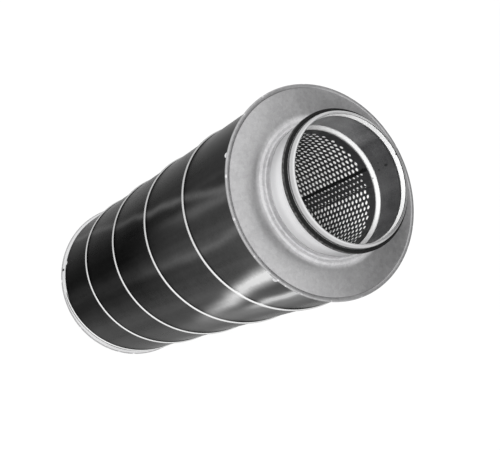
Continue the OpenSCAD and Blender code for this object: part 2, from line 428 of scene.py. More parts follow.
def new_group(name: str, inputs: tuple[str, ...], outputs: tuple[str, ...]) -> tuple[
        bpy.types.NodeTree, Shader, bpy.types.NodeOutputs, bpy.types.NodeInputs]:
    """A new, empty shader node group that reads a vector.

    Args:
        name: Name of the group.
        inputs: Labels of its number inputs, after the vector.
        outputs: Labels of its number outputs.

    Returns:
        The group, its writer, what it is given and what it gives.
    """
    group = bpy.data.node_groups.new(name, "ShaderNodeTree")
    group.interface.new_socket("Vector", in_out="INPUT", socket_type="NodeSocketVector")
    for way, labels in (("INPUT", inputs), ("OUTPUT", outputs)):
        for label in labels:
            group.interface.new_socket(label, in_out=way, socket_type="NodeSocketFloat")
    write = Shader(group)
    return group, write, write.node("NodeGroupInput").outputs, write.node("NodeGroupOutput").inputs


def cylinder_group() -> bpy.types.NodeTree:
    """Cylinder coordinates about the Z axis, as a node group.

    Radius is the distance from the axis in millimetres, Turn the angle in degrees from the -X
    direction, which keeps the cut of the angle on the far side, and Level the height in
    millimetres over the front cap's face.

    Returns:
        The group, made once.
    """
    name = "cylinder_place"
    if name in bpy.data.node_groups:
        return bpy.data.node_groups[name]
    group, write, given, result = new_group(name, (), ("Radius", "Turn", "Level"))
    split = write.node("ShaderNodeSeparateXYZ")
    write.link(given["Vector"], split.inputs[0])
    x, y, z = split.outputs
    turn = write.math("ARCTAN2", write.math("MULTIPLY", y, -1.0), write.math("MULTIPLY", x, -1.0))
    write.link(write.math("DIVIDE", write.hypot(x, y), MM), result["Radius"])
    write.link(write.math("DEGREES", turn), result["Turn"])
    level = write.math("SUBTRACT", write.math("DIVIDE", z, MM), End.FRONT.value[0])
    write.link(level, result["Level"])
    return group


def zinc_sheet_group() -> bpy.types.NodeTree:
    """The marks of galvanized sheet, as a node group that gives a tone and a height.

    Rolling streaks are noise stretched along the axis, turning marks are noise of radius and
    height alone, spangle is the shade of Voronoi cells, grain is fine noise, and smudges are
    soft noise.

    Returns:
        The group, made once.
    """
    name = "zinc_sheet"
    if name in bpy.data.node_groups:
        return bpy.data.node_groups[name]
    group, write, given, result = new_group(name, MARKS, ("Tone", "Height"))
    place = write.group(cylinder_group(), given["Vector"])
    ring = write.node("ShaderNodeCombineXYZ")
    write.link(place.outputs["Radius"], ring.inputs[0])
    write.link(place.outputs["Level"], ring.inputs[1])
    stretch = write.node("ShaderNodeMapping")
    stretch.inputs["Scale"].default_value = STREAK_STRETCH
    write.link(given["Vector"], stretch.inputs["Vector"])
    streak = write.noise(stretch.outputs["Vector"], *Noise.STREAK.value)
    turning = write.noise(ring.outputs[0], *Noise.TURNING.value)
    cells = write.node("ShaderNodeTexVoronoi")
    cells.inputs["Scale"].default_value = SPANGLE_SCALE
    write.link(given["Vector"], cells.inputs["Vector"])
    shade = write.node("ShaderNodeSeparateColor")
    write.link(cells.outputs["Color"], shade.inputs[0])
    grain = write.noise(given["Vector"], *Noise.GRAIN.value)
    smudge = write.noise(given["Vector"], *Noise.SMUDGE.value)
    values = (streak, turning, shade.outputs[0], grain, smudge)
    parts = [write.math("MULTIPLY", write.math("SUBTRACT", value, 0.5), given[label])
             for value, label in zip(values, MARKS)]
    total = parts[0]
    for part in parts[1:]:
        total = write.math("ADD", total, part)
    write.link(write.math("ADD", total, 0.5), result["Tone"])
    write.link(write.math("ADD", write.math("MULTIPLY", streak, given["Streaks"]),
                          write.math("MULTIPLY", turning, given["Turning"])), result["Height"])
    return group


@dataclass(frozen=True)
class PaintedSheen:
    """A painted reflection: a soft lighter streak along the casing, the image of a lamp in wavy sheet painted
    into its colour.

    Its middle lies at turn + drift x level, in degrees and millimetres; its strength grows from
    the level in fade[0] to that in fade[1].
    """

    turn: float
    width: float
    strength: float
    drift: float = 0.0
    fade: tuple[float, float] = (-700.0, -650.0)


def sheen_group(sheens: tuple[PaintedSheen, ...]) -> bpy.types.NodeTree:
    """The painted reflections of the casing, soft lighter streaks, as a node group that gives a tone.

    Each streak is strength x exp(-((turn - middle) / width)^2) x fade. In each winding of the
    strip between two seams the streaks stand a little aside; that shift comes from the
    winding's number and goes to nothing on the far side.

    Args:
        sheens: The streaks.

    Returns:
        The group.
    """
    group, write, given, result = new_group("casing_sheen", (), ("Tone",))
    _, turn, level = write.group(cylinder_group(), given["Vector"]).outputs
    seam_turn = write.math("DIVIDE", write.math("SUBTRACT", turn, SEAM_ANGLE - 180.0), 360.0)
    winding = write.math("FLOOR", write.math("SUBTRACT", write.math("DIVIDE", level, SEAM_PITCH), seam_turn))
    chance = write.node("ShaderNodeTexWhiteNoise", noise_dimensions="1D")
    write.link(winding, chance.inputs["W"])
    near = write.math("COSINE", write.math("RADIANS", write.math("MULTIPLY", turn, 0.5)))
    wave = write.math("SUBTRACT", write.noise(given["Vector"], *Noise.WAVE.value), 0.5)
    shift = write.math("MULTIPLY", write.math("SUBTRACT", chance.outputs["Value"], 0.5),
                       write.math("MULTIPLY", near, WINDING_SHIFT))
    aside = write.math("ADD", shift, write.math("MULTIPLY", wave, WAVE_SHIFT))
    total = None
    for sheen in sheens:
        middle = write.math("ADD", write.math("MULTIPLY", level, sheen.drift), sheen.turn)
        off = write.math("SUBTRACT", write.math("ADD", turn, aside), middle)
        ratio = write.math("DIVIDE", off, sheen.width)
        square = write.math("MULTIPLY", ratio, ratio)
        bell = write.math("EXPONENT", write.math("MULTIPLY", square, -1.0))
        part = write.math("MULTIPLY", write.math("MULTIPLY", bell, sheen.strength),
                          write.ramp(level, *sheen.fade))
        total = part if total is None else write.math("ADD", total, part)
    write.link(total, result["Tone"])
    return group


def new_material(name: str) -> tuple[bpy.types.Material, Shader, bpy.types.Node, Socket]:
    """A new material with its writer, its Principled node and the Object coordinates.

    Args:
        name: Name of the material.

    Returns:
        All four.
    """
    made = bpy.data.materials.new(name)
    made.use_nodes = True
    write = Shader(made.node_tree)
    here = write.node("ShaderNodeTexCoord").outputs["Object"]
    return made, write, made.node_tree.nodes["Principled BSDF"], here


@dataclass(frozen=True)
class Spot:
    """A small mark on a piece: where it is (turn in degrees, level in millimetres), its size and tone."""

    turn: float
    level: float
    size: tuple[float, float]
    tone: float


@dataclass(frozen=True)
class SteelFinish:
    """Galvanized sheet: its darkest and lightest tone, gloss, and how strong each mark is.

    Rings are lines at a radius (radius, half width, factor on the tone), here painted shade in a
    groove and a painted highlight on a raised step; spots are small marks, real ones and also
    painted shade and painted highlights; a worn ring is a line of the same kind that noise breaks
    into chips. A dull ring (radius, half width, amount) adds to the roughness.
    """

    name: str
    dark: Triple
    light: Triple
    roughness: tuple[float, float]
    streaks: float = 0.0
    turning: float = 0.0
    spangle: float = 0.0
    grain: float = 0.0
    smudge: float = 0.0
    bump: float = 0.04
    metallic: float = 1.0
    edge: Triple = (1.0, 1.0, 1.0)
    rings: tuple[Triple, ...] = ()
    worn: tuple[Triple, ...] = ()
    dull: Triple = (0.0, 1.0, 0.0)
    spots: tuple[Spot, ...] = ()
    sheens: tuple[PaintedSheen, ...] = ()

    def ring_mask(self, write: Shader, radius: Socket, ring: Triple) -> Socket:
        """A mask that is 1 near a ring's radius and falls to 0 at its half width."""
        off = write.math("ABSOLUTE", write.math("SUBTRACT", radius, ring[0]))
        return write.ramp(off, ring[1], 0.4 * ring[1])

    def marked(self, write: Shader, colour: Socket, here: Socket, place: bpy.types.Node) -> Socket:
        """Lays the rings, worn rings and spots over a colour.

        Args:
            write: Writer of the material's tree.
            colour: The plain colour.
            here: Object coordinates.
            place: Node of the cylinder coordinates.

        Returns:
            The marked colour.
        """
        radius, turn, level = place.outputs
        masks = [(self.ring_mask(write, radius, ring), ring[2]) for ring in self.rings + self.worn]
        for number in range(len(self.rings), len(masks)):
            chips = write.ramp(write.noise(here, *Noise.CHIPS.value), *CHIP_EDGE)
            masks[number] = (write.math("MULTIPLY", masks[number][0], chips), masks[number][1])
        for spot in self.spots:
            across = write.math("DIVIDE", write.math("SUBTRACT", turn, spot.turn), spot.size[0])
            along = write.math("DIVIDE", write.math("SUBTRACT", level, spot.level), spot.size[1])
            masks.append((write.ramp(write.hypot(across, along), 1.0, 0.5), spot.tone))
        for mask, factor in masks:
            colour = write.mix(mask, colour, (factor, factor, factor), "MULTIPLY")
        return colour

    def material(self) -> bpy.types.Material:
        """Writes the material.

        Returns:
            The material.
        """
        made, write, shader, here = new_material(self.name)
        shader.inputs["Metallic"].default_value = self.metallic
        shader.inputs["Specular Tint"].default_value = (*self.edge, 1.0)
        place = write.group(cylinder_group(), here)
        marks = write.group(zinc_sheet_group(), here)
        for label in MARKS:
            marks.inputs[label].default_value = getattr(self, label.lower())
        tone = marks.outputs["Tone"]
        colour = write.mix(tone, self.dark, self.light)
        # Painted reflections: lighter streaks mixed into the colour, more where the sheet's own tone is
        # lighter
        if self.sheens:
            sheen = write.group(sheen_group(self.sheens), here).outputs["Tone"]
            share = write.math("MULTIPLY", sheen, write.math("ADD", tone, 0.5))
            colour = write.mix(share, colour, SHEEN_TONE)
        write.link(self.marked(write, colour, here, place), shader.inputs["Base Color"])
        gloss = write.node("ShaderNodeMapRange")
        write.link(tone, gloss.inputs["Value"])
        gloss.inputs["To Min"].default_value = self.roughness[0]
        gloss.inputs["To Max"].default_value = self.roughness[1]
        mask = self.ring_mask(write, place.outputs["Radius"], self.dull)
        rough = write.math("ADD", gloss.outputs["Result"], write.math("MULTIPLY", mask, self.dull[2]))
        write.link(rough, shader.inputs["Roughness"])
        write.link(write.bump(marks.outputs["Height"], self.bump, SHEET_BUMP), shader.inputs["Normal"])
        return made


@dataclass(frozen=True)
class SoftFinish:
    """A matt stuff such as rubber, fleece or wool: two tones, roughness, grain and gloss."""

    name: str
    dark: Triple
    light: Triple
    roughness: float
    grain: float
    bump: float
    gloss: float = 0.5

    def material(self) -> bpy.types.Material:
        """Writes the material: the tone follows fine noise, and so does the bump.

        Returns:
            The material.
        """
        made, write, shader, here = new_material(self.name)
        shader.inputs["Roughness"].default_value = self.roughness
        shader.inputs["Specular IOR Level"].default_value = self.gloss
        grain = write.noise(here, self.grain, 4.0)
        write.link(write.mix(write.ramp(grain, 0.3, 0.7), self.dark, self.light), shader.inputs["Base Color"])
        write.link(write.bump(grain, self.bump, SOFT_BUMP), shader.inputs["Normal"])
        return made


# Painted reflections on the casing: lighter streaks and bright patches at set turns, some fading towards the
# rear, and broad lighter bands round the back
CASING_PAINTED_SHEENS = (
    PaintedSheen(-2.5, 2.4, 0.09, drift=0.0525),
    PaintedSheen(1.0, 2.8, 0.055, drift=0.01, fade=(-240.0, -80.0)),
    PaintedSheen(10.0, 32.0, 0.05, fade=(-330.0, -60.0)),
    PaintedSheen(-30.0, 18.0, 0.024),
    PaintedSheen(18.0, 7.0, 0.025),
    PaintedSheen(21.0, 2.6, 0.06, fade=(-420.0, -60.0)),
    PaintedSheen(46.0, 16.0, 0.088, drift=-0.004),
    PaintedSheen(68.0, 12.0, 0.075),
    PaintedSheen(46.5, 4.3, 0.9, drift=-0.07, fade=(-300.0, -60.0)),
    PaintedSheen(66.0, 2.2, 0.8, fade=(-150.0, -60.0)),
    PaintedSheen(70.0, 7.0, 0.25, fade=(-480.0, -60.0)),
    PaintedSheen(115.0, 20.0, 0.09),
    PaintedSheen(140.0, 4.0, 0.16, drift=0.02),
    PaintedSheen(180.0, 45.0, 0.12),
    PaintedSheen(-180.0, 45.0, 0.12),
    PaintedSheen(-135.0, 5.0, 0.13, drift=-0.02),
    PaintedSheen(-100.0, 22.0, 0.08),
)
# The casing's near-black base tone is painted shade: it stands in for dark surroundings mirrored in the steel
CASING_STEEL = SteelFinish("casing_steel", (0.009, 0.009, 0.009), (0.019, 0.019, 0.019), (0.24, 0.34),
                           streaks=1.1, spangle=0.1, grain=0.3, smudge=0.6, edge=(0.41, 0.41, 0.41),
                           sheens=CASING_PAINTED_SHEENS)
# Painted highlight on the seam's front side, brightest round one turn of the casing
SEAM_STEEL = SteelFinish("seam_steel", (0.36, 0.36, 0.36), (0.54, 0.54, 0.54), (0.3, 0.4),
                         grain=0.2, smudge=0.5, sheens=(PaintedSheen(50.0, 48.0, 0.75),))
# Rear flare and rim painted light as a reflection; the dark spot on it is painted shade standing in for a
# notch
RIM_STEEL = SteelFinish("rim_steel", (0.58, 0.58, 0.585), (0.86, 0.86, 0.865), (0.35, 0.45),
                        grain=0.4, smudge=0.8, spots=(Spot(-8.5, -596.0, (1.3, 3.0), 0.03),))
# On the cap the ring at the groove is painted shade and the wide ring over the raised step a painted
# highlight; the worn ring is chipped wear on the rim
CAP_STEEL = SteelFinish("cap_steel", (0.31, 0.308, 0.313), (0.45, 0.448, 0.453), (0.3, 0.36),
                        spangle=0.35, grain=0.8, smudge=1.3, bump=0.0,
                        rings=((125.0, 0.9, 0.88), (84.0, 10.0, 1.65)), worn=((129.3, 1.8, 2.0),),
                        dull=(84.0, 9.0, 0.3))
SPIGOT_SPOTS = (Spot(-160.8, 23.7, (1.6, 4.0), 0.4), Spot(-162.2, 9.0, (1.2, 2.5), 0.45),
                Spot(-156.3, 12.5, (0.9, 1.5), 0.4), Spot(-167.0, -3.0, (1.0, 1.2), 0.45),
                Spot(-156.0, 51.5, (1.2, 1.8), 0.05))
# Outside of the spigot: the two wide spots on its near side are painted highlights
SPIGOT_STEEL = SteelFinish("spigot_steel", (0.42, 0.42, 0.424), (0.56, 0.56, 0.564), (0.32, 0.4),
                           turning=0.3, grain=0.3, smudge=0.8, metallic=0.6,
                           spots=SPIGOT_SPOTS + (Spot(25.0, 26.0, (70.0, 30.0), 1.3),
                                                 Spot(25.0, 36.0, (90.0, 22.0), 1.25)))
# Inside of the spigot: darker than the outside as painted shade, with a wide spot of painted light on one
# side
SPIGOT_BORE = SteelFinish("spigot_bore", (0.06, 0.06, 0.062), (0.2, 0.2, 0.203), (0.4, 0.5),
                          streaks=1.3, turning=0.4, grain=0.9, smudge=2.2, metallic=0.6,
                          spots=SPIGOT_SPOTS + (Spot(-105.0, 25.0, (55.0, 60.0), 1.9),))
# Hem and cone painted lighter as highlights
SPIGOT_HEM = SteelFinish("spigot_hem", (0.66, 0.66, 0.66), (0.9, 0.9, 0.9), (0.2, 0.28),
                         grain=0.4, smudge=0.9, metallic=0.1, spots=SPIGOT_SPOTS)
SPIGOT_CONE = SteelFinish("spigot_cone", (0.5, 0.5, 0.5), (0.74, 0.74, 0.74), (0.2, 0.28),
                          grain=0.4, smudge=0.9, metallic=0.6, spots=SPIGOT_SPOTS)
# Tip: the wide spots on the side away from the camera are painted shade
SPIGOT_TIP = SteelFinish("spigot_tip", (0.46, 0.46, 0.464), (0.7, 0.7, 0.704), (0.26, 0.34),
                         turning=0.5, grain=0.4, smudge=0.8, spots=SPIGOT_SPOTS + (
                             Spot(-180.0, 50.0, (80.0, 14.0), 0.42), Spot(180.0, 50.0, (80.0, 14.0), 0.42)))
SPIGOT_FINISHES = (SPIGOT_STEEL, SPIGOT_BORE, SPIGOT_HEM, SPIGOT_CONE, SPIGOT_TIP)
# The long thin spot down the liner is a painted shadow line cast by the edge of the lapped sheet
LINER_STEEL = SteelFinish("liner_steel", (0.12, 0.12, 0.123), (0.22, 0.22, 0.224), (0.34, 0.44),
                          spangle=0.2, grain=0.2, smudge=0.6, metallic=0.85, spots=(
                              Spot(-155.0, -11.8, (1.0, 1.3), 0.05), Spot(-161.8, -94.6, (2.0, 3.0), 0.4),
                              Spot(-156.9, -300.0, (2.2, 1500.0), 0.3)))
RIVET_METAL = SteelFinish("rivet_metal", (0.6, 0.6, 0.61), (0.8, 0.8, 0.81), (0.3, 0.4), smudge=0.6)
GASKET_RUBBER = SoftFinish("gasket_rubber", (0.003, 0.003, 0.003), (0.008, 0.008, 0.008), 0.5, 900.0, 0.1,
                           gloss=0.08)
# The upward faces of the lower lip painted grey as a highlight
GASKET_PAINTED_HIGHLIGHT = SoftFinish("gasket_painted_highlight", (0.02, 0.02, 0.02), (0.07, 0.07, 0.07), 0.6, 300.0, 0.1, gloss=0.2)
GASKET_FINISHES = (GASKET_RUBBER, GASKET_PAINTED_HIGHLIGHT)
FLEECE = SoftFinish("fleece", (0.82, 0.82, 0.81), (0.92, 0.92, 0.91), 0.9, 1500.0, 0.3)
WOOL = SoftFinish("wool", (0.45, 0.38, 0.16), (0.75, 0.68, 0.4), 0.95, 400.0, 0.8)


def dress(piece: bpy.types.Object, slot: str, *materials: bpy.types.Material) -> bpy.types.Object:
    """Gives a piece its materials.

    Args:
        piece: The piece.
        slot: Name of the record's material slot; not used.
        *materials: Materials in the order of the faces' numbers.

    Returns:
        The piece.
    """
    piece.data.materials.clear()
    for material in materials:
        piece.data.materials.append(material)
    return piece


def number_faces(piece: bpy.types.Object, numbers: np.ndarray) -> None:
    """Gives each face the number of its finish; a short list of numbers repeats in order."""
    faces = piece.data.polygons
    faces.foreach_set("material_index", np.resize(numbers, len(faces)).astype(np.int32))


def settle(piece: bpy.types.Object, *nodes: str) -> bpy.types.Object:
    """Lets a new piece ride on the body and stand for CAD nodes.

    Args:
        piece: The piece.
        *nodes: CAD nodes that it stands for.

    Returns:
        The piece.
    """
    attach(piece, "root")
    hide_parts(*nodes)
    log.info("%s: %d faces, stands for %s", piece.name, len(piece.data.polygons), ", ".join(nodes))
    return piece


@dataclass
class Casing:
    """The spiral-seam tube with its flared ends."""

    inner_r: float = 125.0
    sheet: float = 0.6
    end_depth: float = 2.6
    flare_reach: float = 3.0
    flare_length: float = 5.7
    pitch: float = SEAM_PITCH
    seam_w: float = 6.5
    seam_h: float = 2.2
    bright: tuple[float, float] = (0.33, 0.11)
    # Length of straight wall past the rear flare that still carries the rim's painted light
    painted_rim_length: float = 1.6
    steps_a_turn: int = 180

    def wall(self) -> Surface:
        """The tube with both flares, each half a cosine: the sheet's section turned about the axis.

        Returns:
            The wall.
        """
        f = np.linspace(0, 1, 13)
        end = np.column_stack([self.inner_r + self.sheet / 2 + self.flare_reach * (1 + np.cos(np.pi * f)) / 2,
                               -self.end_depth - self.flare_length * f])
        front = np.column_stack([end[:, 0], End.FRONT.value[0] + end[:, 1]])
        end = np.vstack([end, end[-1:] - np.array([[0.0, self.painted_rim_length]])])
        rear = np.column_stack([end[:, 0], End.REAR.value[0] - end[:, 1]])[::-1]
        return turned(sheet_loop(np.vstack([front, rear]), self.sheet))

    def seam_section(self) -> np.ndarray:
        """Section of the lock seam: a flat ridge with rounded shoulders and a low foot on its front side.

        Returns:
            Closed loop of (height over the casing, distance towards the front).
        """
        w, h = self.seam_w / 2, self.seam_h
        corners = np.array([[-0.3, -w], [0.3, -w], [0.75 * h, -0.82 * w], [h, -0.5 * w], [h, 0.3 * w],
                            [0.8 * h, 0.62 * w], [0.35 * h, 0.72 * w], [0.3 * h, w], [-0.3, w]])
        return rounded(corners, 0.5, 3, closed=True)

    def seam(self) -> Surface:
        """The lock seam, wound right-handed up the tube.

        Returns:
            The ridge.
        """
        low = End.REAR.value[0] + self.end_depth
        high = End.FRONT.value[0] - self.end_depth
        section = self.seam_section() + np.array([self.inner_r + self.sheet, 0.0])
        spare = self.seam_w / 2
        level = np.linspace(low - spare, high + spare,
                            int((high - low) / self.pitch * self.steps_a_turn))
        turn = np.radians(SEAM_ANGLE) + 2 * np.pi * (level - high) / self.pitch
        return wound(section, turn, level, low, high)

    def finish_numbers(self, wall: Surface, seam: Surface) -> np.ndarray:
        """Numbers of the faces' finishes: 0 plain, 1 the seam's front side with its painted highlight, 2 by
        the rear rim, painted light as a reflection.

        A side of the seam's section gets the painted highlight where its middle lies higher than the first
        share of the ridge's height and further forward than the second share of its width; the seam's faces
        repeat the section's sides in order.
        faces repeat the section's sides in order.

        Args:
            wall: The wall, whose faces come first.
            seam: The seam.

        Returns:
            One number for each face.
        """
        z = wall.points[wall.faces][:, :, 2].mean(axis=1)
        flare = z < End.REAR.value[0] + self.end_depth + self.flare_length + self.painted_rim_length
        section = self.seam_section()
        middle = (section + np.roll(section, -1, axis=0)) / 2
        bright = np.all(middle > np.array(self.bright) * (self.seam_h, self.seam_w), axis=1)
        return np.concatenate([np.where(flare, 2, 0), np.resize(bright.astype(int), len(seam.faces))])

    def build(self) -> bpy.types.Object:
        """Builds wall and seam as one piece with three finishes.

        Returns:
            The piece.
        """
        wall, seam = self.wall(), self.seam()
        piece = (wall + seam).to_object("casing")
        dress(piece, "casing_steel", CASING_STEEL.material(), SEAM_STEEL.material(), RIM_STEEL.material())
        number_faces(piece, self.finish_numbers(wall, seam))
        return settle(piece, "outer_casing")


@dataclass
class EndCap:
    """A pressed cap: drawn collar, raised step, pressed groove, folded rim and skirt."""

    end: End
    sheet: float = 0.9
    outer_r: float = 130.0
    collar_r: float = 80.15
    collar_h: float = 9.5
    collar_bend: float = 2.5
    step_r: float = 88.4
    step_slope: float = 3.4
    step_h: float = 1.7
    groove_r: float = 125.0
    groove_w: float = 1.8
    groove_depth: float = 0.55
    rim_gap: float = 0.75
    skirt_r: float = 124.35
    skirt_depth: float = 20.0

    def section(self) -> np.ndarray:
        """Section of the sheet: collar, quarter bend, half a cosine down the step, groove, fold, skirt.

        Returns:
            Closed loop of (r, height over the cap face).
        """
        face = -self.sheet / 2
        nose = (self.sheet + self.rim_gap) / 2
        back = face - 2 * nose
        foot = (self.collar_r + self.collar_bend, face + self.step_h + self.collar_bend)
        f = np.linspace(0, 1, 17)
        step = np.column_stack([self.step_r - self.step_slope * (1 - f),
                                face + self.step_h * (1 + np.cos(np.pi * f)) / 2])
        g = np.linspace(-0.5, 0.5, 9)
        groove = np.column_stack([self.groove_r + self.groove_w * g,
                                  face - self.groove_depth * np.cos(np.pi * g) ** 2])
        path = np.vstack([[[self.collar_r, face + self.collar_h]],
                          arc(foot, self.collar_bend, 180, 270, 12), step, groove,
                          arc((self.outer_r - nose - self.sheet / 2, face - nose), nose, 90, -90, 14),
                          arc((self.skirt_r + self.sheet, back - self.sheet), self.sheet, 90, 180, 6),
                          [[self.skirt_r, -self.skirt_depth]]])
        return sheet_loop(path, self.sheet)

    def build(self, material: bpy.types.Material) -> bpy.types.Object:
        """Builds the cap.

        Args:
            material: Its finish.

        Returns:
            The piece.
        """
        name = self.end.name.lower()
        piece = turned(self.end.place(self.section())).to_object(f"{name}_cap")
        return settle(dress(piece, "cap_steel", material), f"{name}_end_cap")


@dataclass
class Spigot:
    """A tube with gasket groove and hemmed, rounded tip, and its gasket."""

    end: End
    sheet: float = 0.8
    wall_r: float = 79.1
    sleeve_r: float = 75.0
    sleeve_depth: float = 16.0
    cone_length: float = 4.0
    reach: float = 53.5
    tip_start: float = 46.0
    tip_wide_r: float = 78.9
    tip_r: float = 75.0
    fold_r: float = 0.5
    hem_bend: float = 1.8
    hem_length: float = 9.2
    bend_r: float = 1.2
    floor_r: float = 76.6
    floor_levels: tuple[float, float] = (40.93, 43.93)
    ramp_start: float = 37.43
    gasket_w: float = 10.0
    lip_r: float = 83.3
    lip_root_r: float = 79.88
    lip_t: float = 0.9
    lip_round: float = 0.35
    ease: float = 0.1
    tip_paint: float = 0.6

    def section(self) -> np.ndarray:
        """Section of the sheet: sleeve, cone, wall, groove, quarter ellipse to the rim, fold, and hem.

        The ellipse is r = centre + half width x cos t, z = start + height x sin t, for t from 6 to
        90 degrees.

        Returns:
            Closed loop of (r, height over the cap face).
        """
        fold = self.fold_r
        top = self.reach - self.sheet / 2
        t = np.radians(np.linspace(6, 90, 15))
        nose = np.column_stack([self.tip_r + fold + (self.tip_wide_r - self.tip_r - fold) * np.cos(t),
                                self.tip_start + (top - self.tip_start) * np.sin(t)])
        corners = np.array([[self.sleeve_r, -self.sleeve_depth], [self.sleeve_r, -self.cone_length],
                            [self.wall_r, 0.0], [self.wall_r, self.ramp_start],
                            [self.floor_r, self.floor_levels[0]], [self.floor_r, self.floor_levels[1]],
                            [self.tip_wide_r, self.tip_start]])
        hem = [[self.tip_r, self.reach - self.hem_bend], [self.tip_r, self.reach - self.hem_length]]
        path = np.vstack([rounded(corners, self.bend_r, 6), nose,
                          arc((self.tip_r + fold, top - fold), fold, 90, 180, 6)[1:], hem])
        return sheet_loop(path, self.sheet)

    def gasket_section(self) -> np.ndarray:
        """Section of the gasket: a foot in the groove and two lips that stand out from it.

        Returns:
            Closed loop of (r, height over the cap face).
        """
        ease = self.ease
        half = (self.sheet + ease) / 2
        low, high = self.floor_levels
        gap = self.gasket_w / 2
        end = self.tip_start - self.gasket_w
        foot = [[self.wall_r + half, end], [self.wall_r + half, self.ramp_start + 3 * ease],
                [self.floor_r + half + ease, low + 2 * ease], [self.floor_r + half + ease, high - 2 * ease],
                [self.tip_wide_r + half, self.tip_start - ease]]
        lips = []
        for top in (self.tip_start, self.tip_start - gap):
            lips += [[self.lip_root_r, top], [self.lip_r, top - gap / 10],
                     [self.lip_r, top - gap / 10 - self.lip_t], [self.lip_root_r, top - gap / 2]]
        loop = np.array(foot + lips + [[self.lip_root_r, end]])
        return rounded(loop, self.lip_round, 3, closed=True)

    def steel_numbers(self, loop: np.ndarray) -> np.ndarray:
        """Numbers of the finishes round the sheet: 0 outside, 1 bore, 2 hem inside the tip, 3 cone, 4 tip.

        They follow from each side's height and normal: the bore faces inwards, the hem squarely
        so, and the cone inwards and out of the duct. They are copies of one steel with painted light
        and shade: the bore darker as painted shade, the hem and cone lighter as painted highlights.

        Args:
            loop: The placed section.

        Returns:
            One number for each side.
        """
        (r, h), (across, up) = (pair.T for pair in loop_sides(loop, self.end))
        tip = h > self.tip_start + self.tip_paint
        bore = (across < -0.05) & ~tip
        straight = (h > self.floor_levels[1]) & (h < self.reach - self.hem_bend)
        hem = (across < -0.9) & (r < self.tip_r) & straight
        cone = bore & (up > 0.2) & (h < 1.0)
        return np.select([hem, cone, bore, tip], [2, 3, 1, 4], 0)

    def rubber_numbers(self, loop: np.ndarray) -> np.ndarray:
        """Numbers of the finishes round the gasket: 0 plain, 1 the top of the lower lip, painted lighter as a
        highlight.

        Args:
            loop: The placed section.

        Returns:
            One number for each side.
        """
        (r, h), (_, up) = (pair.T for pair in loop_sides(loop, self.end))
        middle = self.tip_start - self.gasket_w / 2
        return ((up > 0.5) & (h < middle + 3 * self.ease) & (r > self.lip_root_r)).astype(int)

    def build(self, steels: list[bpy.types.Material],
              rubbers: list[bpy.types.Material]) -> list[bpy.types.Object]:
        """Builds collar and gasket.

        Args:
            steels: Finishes of the collar.
            rubbers: Finishes of the gasket.

        Returns:
            Both pieces.
        """
        name = self.end.name.lower()
        section = self.end.place(self.section())
        collar = dress(turned(section).to_object(f"{name}_collar"), "spigot_steel", *steels)
        number_faces(collar, self.steel_numbers(section))
        section = self.end.place(self.gasket_section())
        ring = dress(turned(section).to_object(f"{name}_lip_ring"), "gasket_rubber", *rubbers)
        number_faces(ring, self.rubber_numbers(section))
        return [settle(collar, f"{name}_spigot"), settle(ring, f"{name}_gasket")]


